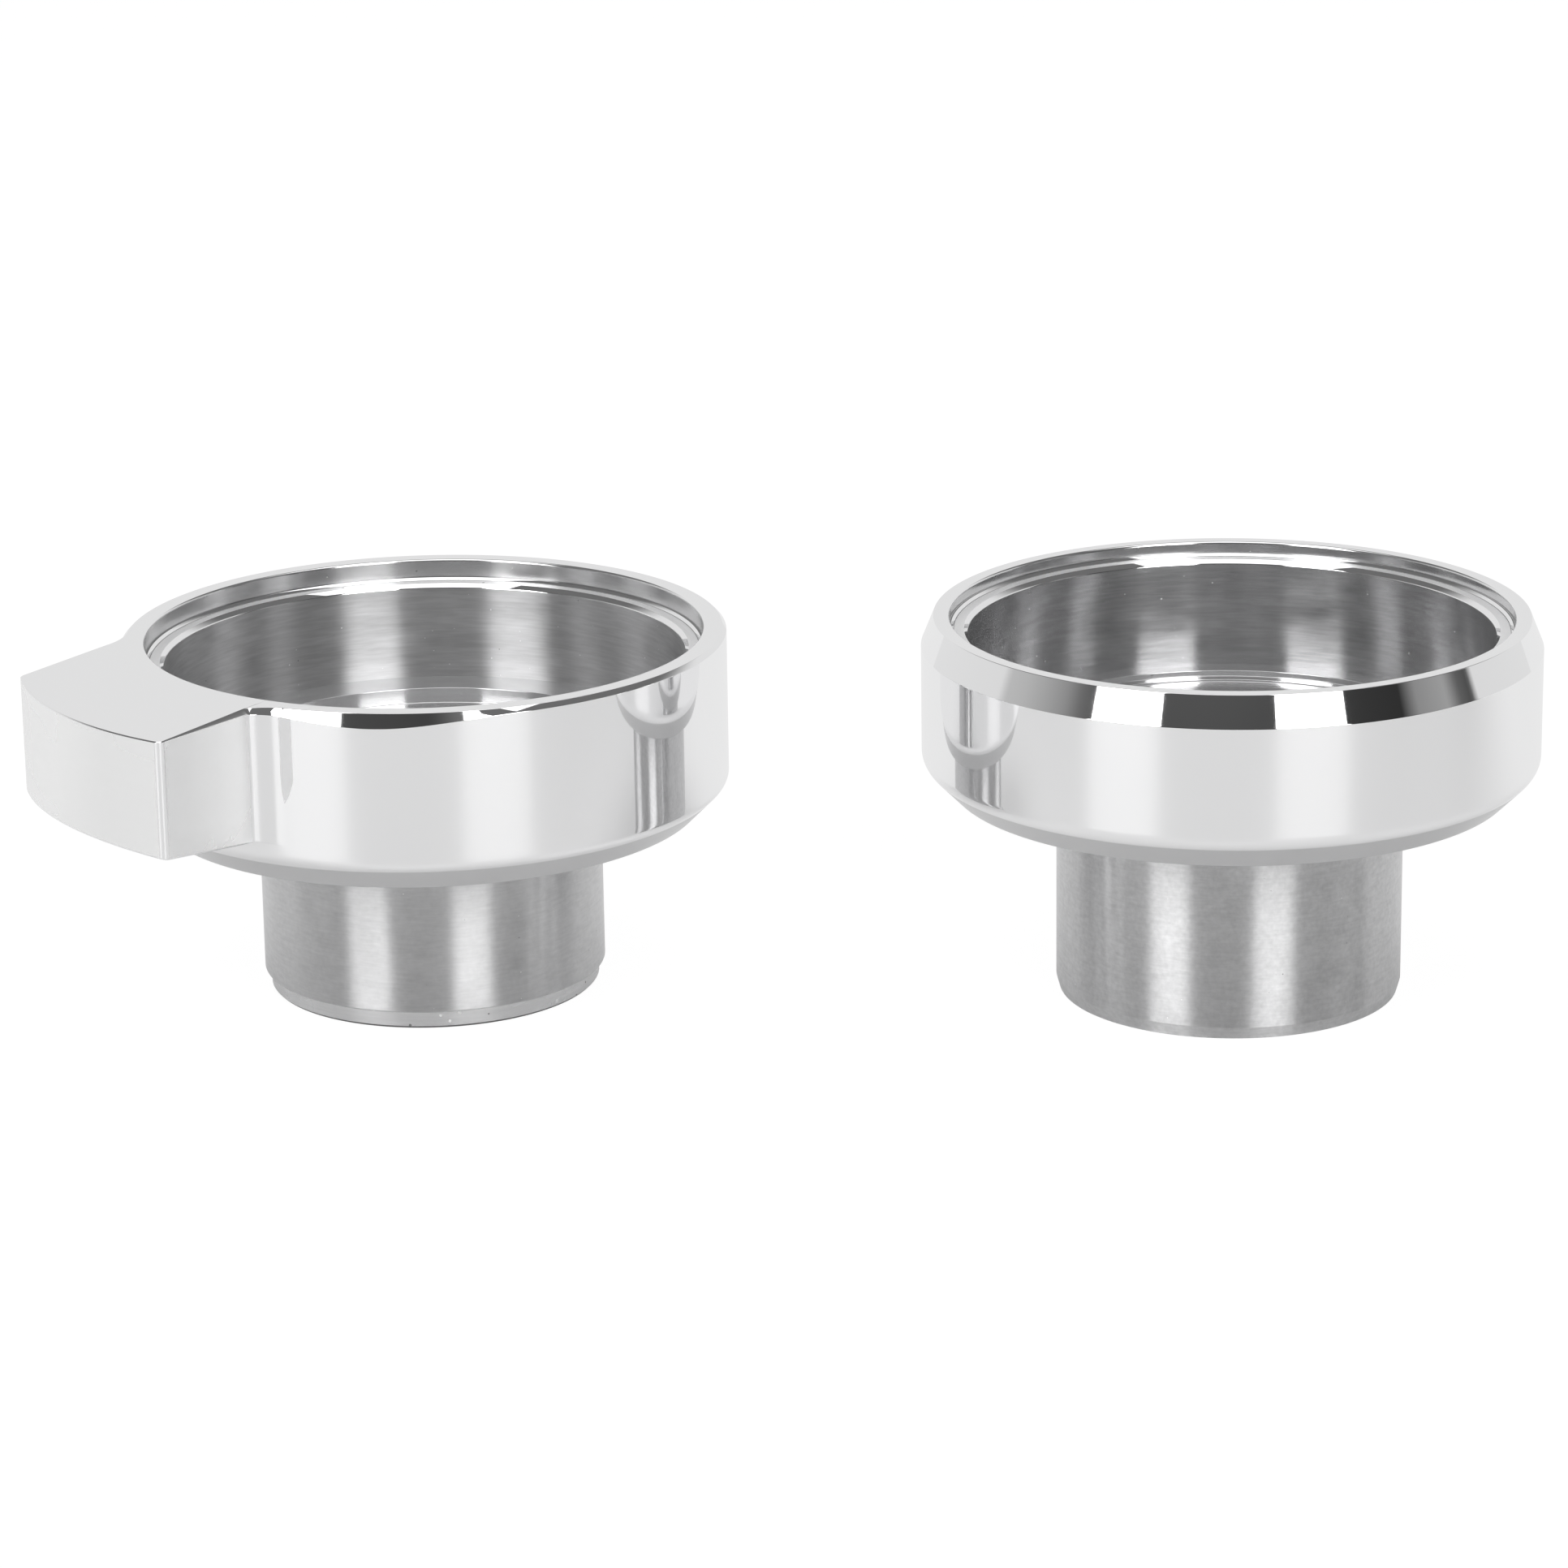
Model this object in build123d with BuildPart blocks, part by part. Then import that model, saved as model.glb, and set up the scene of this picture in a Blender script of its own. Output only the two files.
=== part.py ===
from build123d import *
import os
from math import cos, hypot, radians, sin, sqrt

os.makedirs("parts", exist_ok=True)

# A matched pair of empty portafilter cup holders that stand on their necks. The tabbed holder has a
# thumb tab cast into its collar. The plain holder is round all over. In each, a seat ring, a bore
# liner and a floor ring are stacked in the collar's pocket, below the ledge under its rim, and a neck
# sleeve is pressed up through the collar's base. All sizes are in millimetres, all angles in degrees.

# ---- sizes shared by both holders ----
bore_diameter = 61.0           # brushed cup wall
mouth_bevel = 0.5              # 45 degree bevel at the mouth of the bore
seat_width = 1.2               # flat seat outside the bevel
seat_ring_height = 3.0
seat_step_height = 0.35        # the seat ring lies this far below the collar's ledge
ledge_width = 0.5              # ledge at the foot of the recess, round the pocket's mouth
base_thickness = 2.2           # web that closes the foot of each collar
foot_chamfer = 3.4             # 45 degree chamfer under each collar
neck_diameter = 40.5
neck_wall = 3.0
neck_shoulder = 1.0            # step round the top of the neck, which bears on the collar's base
fit_clearance = 0.03           # radial clearance round every pressed-in piece

# ---- plain holder ----
plain_collar_height = 20.4
plain_neck_length = 24.9       # from the foot of the neck to the underside of the collar
plain_land_width = 1.85        # flat top of the rim, outside the recess
plain_rim_chamfer_width = 1.45
plain_rim_chamfer_height = 3.55
plain_recess_depth = 1.35
plain_floor_height = 3.4       # from the collar's base to the floor's outer shelf
plain_outer_shelf_width = 2.9
plain_outer_step_height = 0.7
plain_inner_shelf_width = 1.5
plain_inner_step_height = 0.3
plain_taper_width = 0.4        # lead-in taper at the foot of the neck
plain_taper_height = 1.45

# ---- tabbed holder ----
tabbed_collar_height = 21.35
tabbed_neck_length = 21.3
tabbed_land_width = 2.25
tabbed_rim_chamfer_width = 0.5
tabbed_rim_chamfer_height = 1.1
tabbed_recess_depth = 2.2
tabbed_floor_height = 4.85
tabbed_outer_shelf_width = 5.2
tabbed_outer_step_height = 1.85
tabbed_inner_shelf_width = 3.2
tabbed_inner_step_height = 0.4
lip_setback = 0.75             # how far the lip stands in from the neck's wall
lip_height = 2.15              # how far the lip stands out below the neck sleeve
lip_spigot_wall = 1.45         # part of the lip ring that is pressed into the sleeve
lip_spigot_length = 4.0
lip_edge_chamfer = 0.3

# ---- thumb tab, laid out along its own direction from the collar's axis ----
tab_direction = -123.0         # turned from +X
tab_left_side = 4.93           # left side, where its line passes the collar's axis
tab_left_tip = 2.45            # the same side at the tip, so the tab narrows a little
tab_right_side = 28.55         # straight side, to the right of the line through the axis
tab_end_radius = 42.6
tab_end_centre_along = 9.5     # centre of the end's arc, from the collar's axis
tab_end_centre_left = 2.2
tab_left_blend = 3.5           # concave blends where the sides leave the collar
tab_right_blend = 9.0
tab_corner_radius = 0.8        # upright edges at the tip
tab_tip_thickness = 13.75
tab_underside_slope = 8.2      # the underside rises towards the tip
tab_slope_direction = -145.0
tab_slope_reach = 46.5         # distance from the axis where the tip's thickness is measured

# ---- how the pair stands ----
pair_spacing = 94.06           # between the two axes along X
pair_stagger = 7.29            # the tabbed holder's axis stands further back

# ---- sizes that follow from those above ----
bore_radius = bore_diameter / 2
pocket_radius = bore_radius + mouth_bevel + seat_width
insert_radius = pocket_radius - fit_clearance
recess_radius = pocket_radius + ledge_width
plain_radius = recess_radius + plain_land_width + plain_rim_chamfer_width
tabbed_radius = recess_radius + tabbed_land_width + tabbed_rim_chamfer_width
neck_radius = neck_diameter / 2
neck_bore_radius = neck_radius - neck_wall
neck_spigot_radius = neck_radius - neck_shoulder
lip_radius = neck_radius - lip_setback
lip_spigot_radius = neck_bore_radius + lip_spigot_wall
plain_rim = plain_neck_length + plain_collar_height
tabbed_rim = tabbed_neck_length + tabbed_collar_height
plain_base_top = plain_neck_length + base_thickness
tabbed_base_top = tabbed_neck_length + base_thickness
plain_ledge = plain_rim - plain_recess_depth
tabbed_ledge = tabbed_rim - tabbed_recess_depth
plain_seat_top = plain_ledge - seat_step_height
tabbed_seat_top = tabbed_ledge - seat_step_height
plain_floor = plain_base_top + plain_floor_height
tabbed_floor = tabbed_base_top + tabbed_floor_height


def tab_frame(x, y, height):
    """Level plane over (x, y) whose own X runs out along the thumb tab."""
    along = (cos(radians(tab_direction)), sin(radians(tab_direction)), 0)
    return Plane(origin=(x, y, height), x_dir=along, z_dir=(0, 0, 1))


def on_ring(vertex):
    """True for a corner that lies on the tabbed collar's round wall."""
    return abs(hypot(vertex.X, vertex.Y) - tabbed_radius) < 0.01


def tabbed_outline(plane):
    """The tabbed collar seen from above: a round with a tab whose sides blend into it."""
    left_rise = tab_left_tip - tab_end_centre_left
    right_rise = tab_right_side + tab_end_centre_left
    left_reach = tab_end_centre_along + sqrt(tab_end_radius**2 - left_rise**2)
    right_reach = tab_end_centre_along + sqrt(tab_end_radius**2 - right_rise**2)
    with BuildSketch(plane) as outline:
        Circle(tabbed_radius)
        with BuildLine():
            tip_left = (left_reach, tab_left_tip)
            tip_right = (right_reach, -tab_right_side)
            Polyline(tip_left, (0, tab_left_side), (0, -tab_right_side), tip_right)
            RadiusArc(tip_left, tip_right, tab_end_radius)
        make_face()
        fillet(outline.vertices().filter_by(on_ring).sort_by(Axis.Y)[-1], tab_left_blend)
        fillet(outline.vertices().filter_by(on_ring).sort_by(Axis.Y)[0], tab_right_blend)
    return outline


def turned(x, y, profile, mode=Mode.ADD):
    """Turn a closed profile of (radius, height) points about the vertical line through (x, y)."""
    with BuildSketch(Plane(origin=(x, y, 0), x_dir=(1, 0, 0), z_dir=(0, -1, 0))) as section:
        with BuildLine():
            Polyline(*profile, close=True)
        make_face()
    revolve(section.sketch, axis=Axis((x, y, 0), (0, 0, 1)), mode=mode)


def collar_pocket(rim, ledge, base_top, underside):
    """Profile of the space inside a collar: recess, ledge, pocket for the stack, hole for the neck."""
    return [
        (0, rim),
        (recess_radius, rim),
        (recess_radius, ledge),
        (pocket_radius, ledge),
        (pocket_radius, base_top),
        (neck_spigot_radius + fit_clearance, base_top),
        (neck_spigot_radius + fit_clearance, underside),
        (0, underside),
    ]


def seat_profile(top):
    """Profile of a seat ring: a flat seat and a bevelled mouth."""
    return [
        (insert_radius, top),
        (pocket_radius - seat_width, top),
        (bore_radius, top - mouth_bevel),
        (bore_radius, top - seat_ring_height),
        (insert_radius, top - seat_ring_height),
    ]


def liner_profile(top, bottom):
    """Profile of a bore liner: the plain round wall of the cup."""
    return [(insert_radius, top), (bore_radius, top), (bore_radius, bottom), (insert_radius, bottom)]


def floor_profile(top, bottom, outer_shelf, outer_step, inner_shelf, inner_step):
    """Profile of a floor ring that goes down in two steps to the neck bore."""
    outer_edge = bore_radius - outer_shelf
    inner_edge = outer_edge - inner_shelf
    middle = top - outer_step
    low = middle - inner_step
    return [
        (insert_radius, top),
        (outer_edge, top),
        (outer_edge, middle),
        (inner_edge, middle),
        (inner_edge, low),
        (neck_bore_radius, low),
        (neck_bore_radius, bottom),
        (insert_radius, bottom),
    ]


# ---- where the pair stands: the origin is under the middle of the pair's box ----
with BuildSketch() as tabbed_footprint:
    add(tabbed_outline(tab_frame(0, 0, 0)).sketch)
    fillet(tabbed_footprint.vertices().sort_by_distance((0, 0, 0))[-2:], tab_corner_radius)
reach = tabbed_footprint.sketch.bounding_box()
plain_x = (pair_spacing - reach.min.X - plain_radius) / 2
tabbed_x = plain_x - pair_spacing
front_edge = min(-plain_radius, pair_stagger + reach.min.Y)
back_edge = max(plain_radius, pair_stagger + reach.max.Y)
plain_y = -(front_edge + back_edge) / 2
tabbed_y = plain_y + pair_stagger

# ---- plain holder ----
# Collar: mirror-polished ring with a wide steep chamfer round its rim.
with BuildPart() as plain_collar:
    turned(
        plain_x,
        plain_y,
        [
            (0, plain_neck_length),
            (plain_radius - foot_chamfer, plain_neck_length),
            (plain_radius, plain_neck_length + foot_chamfer),
            (plain_radius, plain_rim - plain_rim_chamfer_height),
            (plain_radius - plain_rim_chamfer_width, plain_rim),
            (0, plain_rim),
        ],
    )
    pocket = collar_pocket(plain_rim, plain_ledge, plain_base_top, plain_neck_length)
    turned(plain_x, plain_y, pocket, mode=Mode.SUBTRACT)
plain_collar.part.label = "plain_collar"
export_step(plain_collar.part, "parts/plain_collar.step")

# Seat ring: the seat that a filter basket's rim rests on, with a bevel into the cup.
with BuildPart() as plain_seat_ring:
    turned(plain_x, plain_y, seat_profile(plain_seat_top))
plain_seat_ring.part.label = "plain_seat_ring"
export_step(plain_seat_ring.part, "parts/plain_seat_ring.step")

# Bore liner: the brushed wall between the seat ring and the floor.
with BuildPart() as plain_bore_liner:
    turned(plain_x, plain_y, liner_profile(plain_seat_top - seat_ring_height, plain_floor))
plain_bore_liner.part.label = "plain_bore_liner"
export_step(plain_bore_liner.part, "parts/plain_bore_liner.step")

# Floor ring: two shallow steps down to the neck bore.
with BuildPart() as plain_floor_ring:
    turned(
        plain_x,
        plain_y,
        floor_profile(
            plain_floor,
            plain_base_top,
            plain_outer_shelf_width,
            plain_outer_step_height,
            plain_inner_shelf_width,
            plain_inner_step_height,
        ),
    )
plain_floor_ring.part.label = "plain_floor_ring"
export_step(plain_floor_ring.part, "parts/plain_floor_ring.step")

# Neck sleeve: a brushed tube with a slim lead-in taper at its foot and a shouldered spigot at its top.
with BuildPart() as plain_neck_sleeve:
    turned(
        plain_x,
        plain_y,
        [
            (neck_bore_radius, 0),
            (neck_radius - plain_taper_width, 0),
            (neck_radius, plain_taper_height),
            (neck_radius, plain_neck_length),
            (neck_spigot_radius, plain_neck_length),
            (neck_spigot_radius, plain_base_top),
            (neck_bore_radius, plain_base_top),
        ],
    )
plain_neck_sleeve.part.label = "plain_neck_sleeve"
export_step(plain_neck_sleeve.part, "parts/plain_neck_sleeve.step")

# ---- tabbed holder ----
# Collar: mirror-polished ring and thumb tab in one casting. The outline is raised from the top of the
# foot chamfer to the rim, and chamfered round its top as far as the tab's tip. The sloping underside
# trims the tab, the ring with its foot chamfer is added, and the pocket is cut.
with BuildPart() as tabbed_collar:
    outline = tabbed_outline(tab_frame(tabbed_x, tabbed_y, tabbed_neck_length + foot_chamfer))
    extrude(outline.sketch, amount=tabbed_collar_height - foot_chamfer)
    top_face = tabbed_collar.faces().sort_by(Axis.Z)[-1]
    rim_edge = top_face.edges().filter_by(GeomType.CIRCLE).sort_by(SortBy.LENGTH)[-1]
    chamfer(rim_edge, tabbed_rim_chamfer_width, tabbed_rim_chamfer_height, reference=top_face)
    upright_edges = tabbed_collar.edges().filter_by(Axis.Z)
    fillet(upright_edges.sort_by_distance((tabbed_x, tabbed_y, tabbed_rim))[-2:], tab_corner_radius)
    slope_x = cos(radians(tab_slope_direction))
    slope_y = sin(radians(tab_slope_direction))
    slope_rise = sin(radians(tab_underside_slope))
    underside_point = (
        tabbed_x + tab_slope_reach * slope_x,
        tabbed_y + tab_slope_reach * slope_y,
        tabbed_rim - tab_tip_thickness,
    )
    underside_normal = (-slope_rise * slope_x, -slope_rise * slope_y, cos(radians(tab_underside_slope)))
    split(bisect_by=Plane(origin=underside_point, z_dir=underside_normal), keep=Keep.TOP)
    turned(
        tabbed_x,
        tabbed_y,
        [
            (0, tabbed_neck_length),
            (tabbed_radius - foot_chamfer, tabbed_neck_length),
            (tabbed_radius, tabbed_neck_length + foot_chamfer),
            (tabbed_radius, tabbed_rim - tabbed_rim_chamfer_height),
            (0, tabbed_rim - tabbed_rim_chamfer_height),
        ],
    )
    pocket = collar_pocket(tabbed_rim, tabbed_ledge, tabbed_base_top, tabbed_neck_length)
    turned(tabbed_x, tabbed_y, pocket, mode=Mode.SUBTRACT)
tabbed_collar.part.label = "tabbed_collar"
export_step(tabbed_collar.part, "parts/tabbed_collar.step")

# Seat ring: the same section as in the plain holder, set deeper below the rim.
with BuildPart() as tabbed_seat_ring:
    turned(tabbed_x, tabbed_y, seat_profile(tabbed_seat_top))
tabbed_seat_ring.part.label = "tabbed_seat_ring"
export_step(tabbed_seat_ring.part, "parts/tabbed_seat_ring.step")

# Bore liner: the brushed wall between the seat ring and the floor.
with BuildPart() as tabbed_bore_liner:
    turned(tabbed_x, tabbed_y, liner_profile(tabbed_seat_top - seat_ring_height, tabbed_floor))
tabbed_bore_liner.part.label = "tabbed_bore_liner"
export_step(tabbed_bore_liner.part, "parts/tabbed_bore_liner.step")

# Floor ring: a broad shelf, a tall upright step and a lower shelf.
with BuildPart() as tabbed_floor_ring:
    turned(
        tabbed_x,
        tabbed_y,
        floor_profile(
            tabbed_floor,
            tabbed_base_top,
            tabbed_outer_shelf_width,
            tabbed_outer_step_height,
            tabbed_inner_shelf_width,
            tabbed_inner_step_height,
        ),
    )
tabbed_floor_ring.part.label = "tabbed_floor_ring"
export_step(tabbed_floor_ring.part, "parts/tabbed_floor_ring.step")

# Neck sleeve: a brushed tube with the same spigot, counterbored at its foot for the lip ring.
with BuildPart() as tabbed_neck_sleeve:
    counterbore_radius = lip_spigot_radius + fit_clearance
    turned(
        tabbed_x,
        tabbed_y,
        [
            (counterbore_radius, lip_height),
            (neck_radius, lip_height),
            (neck_radius, tabbed_neck_length),
            (neck_spigot_radius, tabbed_neck_length),
            (neck_spigot_radius, tabbed_base_top),
            (neck_bore_radius, tabbed_base_top),
            (neck_bore_radius, lip_height + lip_spigot_length),
            (counterbore_radius, lip_height + lip_spigot_length),
        ],
    )
tabbed_neck_sleeve.part.label = "tabbed_neck_sleeve"
export_step(tabbed_neck_sleeve.part, "parts/tabbed_neck_sleeve.step")

# Neck lip: a ring of smaller diameter whose spigot is pressed up into the sleeve.
with BuildPart() as tabbed_neck_lip:
    turned(
        tabbed_x,
        tabbed_y,
        [
            (neck_bore_radius, 0),
            (lip_radius - lip_edge_chamfer, 0),
            (lip_radius, lip_edge_chamfer),
            (lip_radius, lip_height),
            (lip_spigot_radius, lip_height),
            (lip_spigot_radius, lip_height + lip_spigot_length),
            (neck_bore_radius, lip_height + lip_spigot_length),
        ],
    )
tabbed_neck_lip.part.label = "tabbed_neck_lip"
export_step(tabbed_neck_lip.part, "parts/tabbed_neck_lip.step")
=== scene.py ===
# %% [markdown]
# # A pair of portafilter cup holders
# Two steel cup holders stand side by side on their necks. Each has a mirror-polished collar, a seat for
# a filter basket, a brushed cup and a brushed neck. The holder on the left also has a thumb tab.
# The first cell loads the measured model. Every piece made later goes where that model says.

# %% Load the measured model
from math import atan2, cos, degrees, exp, pi, radians, sin, sqrt, tan
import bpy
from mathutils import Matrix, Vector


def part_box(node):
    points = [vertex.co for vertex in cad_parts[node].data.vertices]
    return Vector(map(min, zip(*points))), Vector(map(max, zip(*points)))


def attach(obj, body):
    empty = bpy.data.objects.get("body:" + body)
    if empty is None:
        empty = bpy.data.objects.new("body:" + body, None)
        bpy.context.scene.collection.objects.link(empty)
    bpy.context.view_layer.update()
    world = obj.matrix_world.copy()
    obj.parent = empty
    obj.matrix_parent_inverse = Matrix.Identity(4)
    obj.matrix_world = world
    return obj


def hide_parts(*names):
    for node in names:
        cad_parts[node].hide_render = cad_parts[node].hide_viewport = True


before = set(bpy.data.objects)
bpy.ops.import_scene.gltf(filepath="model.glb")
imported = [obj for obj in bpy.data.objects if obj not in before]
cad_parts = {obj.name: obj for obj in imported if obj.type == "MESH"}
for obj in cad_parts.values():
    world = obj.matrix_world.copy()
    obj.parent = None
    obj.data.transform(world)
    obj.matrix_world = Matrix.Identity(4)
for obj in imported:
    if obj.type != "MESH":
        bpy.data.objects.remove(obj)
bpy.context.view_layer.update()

from types import SimpleNamespace

import bmesh
import bpy
from mathutils import Matrix, Vector

mm = 0.001

# %% [markdown]
# ## Where the two holders stand
# Both holders are round about an upright axis, and their rings lie in a stack. So one axis and a short
# list of heights place every ring of a holder. They are read from the boxes of the measured pieces
# instead of being typed in, and are in millimetres above the table, as a machinist would write them.

# %% Read the axes and the heights
def axis_of(node):
    """The upright axis of a round piece, as the middle of its box, at the height of the table."""
    low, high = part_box(node)
    return Vector(((low[0] + high[0]) / 2, (low[1] + high[1]) / 2, 0.0))

def heights_of(node):
    """The foot and the top of a piece, in millimetres above the table."""
    low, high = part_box(node)
    return round(low[2] / mm, 2), round(high[2] / mm, 2)

def measured_holder(side):
    """One holder's name, body and axis, and the heights of its stacked pieces."""
    base, rim = heights_of(side + "_collar")
    cup_top, seat = heights_of(side + "_seat_ring")
    web, cup_foot = heights_of(side + "_floor_ring")
    return SimpleNamespace(
        side=side, body=side + "_holder", axis=axis_of(side + "_neck_sleeve"),
        base=base, web=web, cup_foot=cup_foot, cup_top=cup_top, seat=seat, ledge=seat + 0.35, rim=rim)

plain, tabbed = measured_holder("plain"), measured_holder("tabbed")
for holder in (plain, tabbed):
    print(holder.side, "axis at", tuple(round(v / mm, 2) for v in holder.axis))
    print("  heights: cup", holder.cup_foot, "to", holder.cup_top, "seat", holder.seat, "rim", holder.rim)

# %% Sizes that both holders share, in millimetres
# Radii, from the middle outwards.
bore_radius = 17.25         # the hole through the neck
spigot_radius = 19.25       # the top of the neck, pressed up into the collar's base
base_hole_radius = 19.28    # the hole that takes it
neck_radius = 20.25
cup_radius = 30.5
mouth_radius = 31.0         # where the flat seat turns down into the cup
ring_outside = 32.17        # seat, cup wall and floor, which drop into the collar's pocket
pocket_radius = 32.2
ledge_radius = 32.5         # where the ledge above the pocket starts
recess_radius = 32.7        # the wall inside the rim
# Roundings and bevels.
rim_rounding, foot_rounding, ledge_rounding = 0.30, 0.25, 0.04
ledge_bevel, seat_bevel = 0.3, 0.5
print("cup", 2 * cup_radius, "mm across, recess", 2 * recess_radius, "mm, neck", 2 * neck_radius, "mm")

# %% [markdown]
# ## Camera
# Small metal goods are shot with a long lens from about arm's length, looking down a little, so that
# the cups show their insides and the sides stay nearly upright. The lens and the place of the camera
# are set before anything is built, so that every later step can be judged in the same view.

# %% Place the camera
def new_object(name, data):
    """An object in the scene for a mesh, a lamp or a camera."""
    made = bpy.data.objects.new(name, data)
    bpy.context.scene.collection.objects.link(made)
    return made

sensor_width, lens_length = 36.0, 124.63                 # millimetres
look_down, roll = radians(17.004), -0.015                # radians
camera_place = Vector((-0.000543, -0.609713, 0.21097))   # metres

camera_data = bpy.data.cameras.new("product_camera")
camera_data.sensor_width = sensor_width
camera_data.lens = lens_length
camera = new_object("product_camera", camera_data)
level = Vector((1, 0, 0))
upward = Vector((0, sin(look_down), cos(look_down)))
backward = Vector((0, -cos(look_down), sin(look_down)))
view_right = cos(roll) * level + sin(roll) * upward
view_up = -sin(roll) * level + cos(roll) * upward
camera.matrix_world = Matrix((view_right, view_up, backward)).transposed().to_4x4()
camera.location = camera_place
bpy.context.scene.camera = camera
bpy.context.scene.view_settings.view_transform = "Standard"
print("camera", round(camera.location.length, 3), "m from the origin")

# %% [markdown]
# ## Studio
# Polished steel has hardly any look of its own: it shows the room. The room here is a white table,
# a white sweep behind, two tall soft boxes in front on the left and right, a weak one overhead, and the
# dark studio between them. The dark strips between the boxes are what make the metal read as metal.
# The sweep and the dark room are a world shader that depends on the direction only. The boxes are
# area lamps, because they stand near enough for each holder to see them at a slightly different angle.

# %% Helpers for shader nodes
def add_node(tree, kind, **settings):
    """Add one node to a tree and set its options."""
    made = tree.nodes.new(kind)
    for option, value in settings.items():
        setattr(made, option, value)
    return made

def join(tree, source, target):
    """Link two sockets of a tree."""
    tree.links.new(source, target)

def feed(tree, value, target):
    """Link a socket to an input, or set the input to a plain number or colour."""
    if isinstance(value, bpy.types.NodeSocket):
        join(tree, value, target)
    else:
        target.default_value = value

def arithmetic(tree, operation, *values):
    """A Math node whose inputs are sockets or plain numbers."""
    made = add_node(tree, "ShaderNodeMath", operation=operation)
    for slot, value in enumerate(values):
        feed(tree, value, made.inputs[slot])
    return made.outputs[0]

def remap(tree, value, from_low, from_high, to_low, to_high, soft=False):
    """A Map Range node: it stretches one range to another, with soft ends if wanted."""
    made = add_node(tree, "ShaderNodeMapRange", interpolation_type="SMOOTHSTEP" if soft else "LINEAR")
    limits = {"From Min": from_low, "From Max": from_high, "To Min": to_low, "To Max": to_high}
    for label, limit in limits.items():
        made.inputs[label].default_value = limit
    join(tree, value, made.inputs["Value"])
    return made.outputs[0]

def mix_colours(tree, factor, first, second, blend="MIX"):
    """A Mix node for two colours, which are sockets or plain colours."""
    made = add_node(tree, "ShaderNodeMix", data_type="RGBA", blend_type=blend)
    for value, target in ((factor, made.inputs["Factor"]), (first, made.inputs[6]), (second, made.inputs[7])):
        feed(tree, value, target)
    return made.outputs[2]

def place_on_piece(tree):
    """X, Y and Z of the piece's own coordinates, in metres."""
    here = add_node(tree, "ShaderNodeTexCoord")
    parts = add_node(tree, "ShaderNodeSeparateXYZ")
    join(tree, here.outputs["Object"], parts.inputs[0])
    return parts.outputs

def grey(level):
    """A neutral grey."""
    return (level, level, level, 1)

def steel_grey(level):
    """A grey that leans to blue a little, as steel does."""
    return (level, level, level + 0.005, 1)

print("node helpers ready")

# %% The room as a world shader
# Headings are in degrees: 0 is straight in front, positive is to the right, and 180 is the sweep behind.
room_levels = [
    (-180, 0.77), (-150, 0.77), (-100, 0.72), (-96, 0.50), (-88, 0.46), (-78, 0.36), (-70, 0.27),
    (-64, 0.15), (-56, 0.08), (9, 0.05), (40, 0.04), (62, 0.03), (69, 0.26), (82, 0.34), (88, 0.12),
    (94, 0.07), (97, 0.72), (150, 0.77), (180, 0.77),
]
ceiling_level = 0.15
walls_end, ceiling_starts = 0.40, 0.62    # how steeply a ray looks up, from 0 for level to 1 for straight up

world = bpy.data.worlds.new("studio")
bpy.context.scene.world = world
world.use_nodes = True
room = world.node_tree
room.nodes.clear()
direction = add_node(room, "ShaderNodeTexCoord")
aim = add_node(room, "ShaderNodeSeparateXYZ")
join(room, direction.outputs["Generated"], aim.inputs[0])
toward_front = arithmetic(room, "MULTIPLY", aim.outputs["Y"], -1.0)
heading = arithmetic(room, "ARCTAN2", aim.outputs["X"], toward_front)
turn = arithmetic(room, "MULTIPLY_ADD", heading, 1 / (2 * pi), 0.5)
walls = add_node(room, "ShaderNodeValToRGB")
join(room, turn, walls.inputs[0])
ramp = walls.color_ramp
while len(ramp.elements) < len(room_levels):
    ramp.elements.new(0.5)
for element, (heading_degrees, brightness) in zip(ramp.elements, room_levels):
    element.position = heading_degrees / 360 + 0.5
    element.color = grey(brightness)
overhead = remap(room, aim.outputs["Z"], walls_end, ceiling_starts, 0.0, 1.0, soft=True)
room_light = add_node(room, "ShaderNodeBackground")
join(room, mix_colours(room, overhead, walls.outputs[0], grey(ceiling_level)), room_light.inputs["Color"])
print("room has", len(room_levels), "levels round the compass")

# %% White where the camera looks past the holders
white_backdrop = add_node(room, "ShaderNodeBackground")
white_backdrop.inputs["Color"].default_value = grey(1.0)
path = add_node(room, "ShaderNodeLightPath")
pick = add_node(room, "ShaderNodeMixShader")
join(room, path.outputs["Is Camera Ray"], pick.inputs[0])
join(room, room_light.outputs[0], pick.inputs[1])
join(room, white_backdrop.outputs[0], pick.inputs[2])
world_out = add_node(room, "ShaderNodeOutputWorld")
join(room, pick.outputs[0], world_out.inputs[0])
print("world has", len(room.nodes), "nodes")

# %% Soft boxes
box_distance = 1.30                            # metres from the middle of the table
front_radiance, overhead_radiance = 4.35, 1.25
overhead_width, overhead_height = 1.0, 1.1     # metres

def power_for(radiance, width, length):
    """Lamp power that makes a flat box of this size look this bright."""
    return radiance * pi * width * length

def soft_box(name, heading_degrees, width, low, high):
    """An upright soft box that faces the table's middle, between two heights in metres."""
    lamp_data = bpy.data.lights.new(name, "AREA")
    lamp_data.shape = "RECTANGLE"
    lamp_data.size = width
    lamp_data.size_y = high - low
    lamp_data.energy = power_for(front_radiance, width, high - low)
    lamp = new_object(name, lamp_data)
    angle = radians(heading_degrees)
    outward = Vector((sin(angle), -cos(angle), 0.0))
    lamp.location = outward * box_distance + Vector((0, 0, (low + high) / 2))
    lamp.rotation_euler = (-outward).to_track_quat("-Z", "Y").to_euler()
    return lamp

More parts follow.
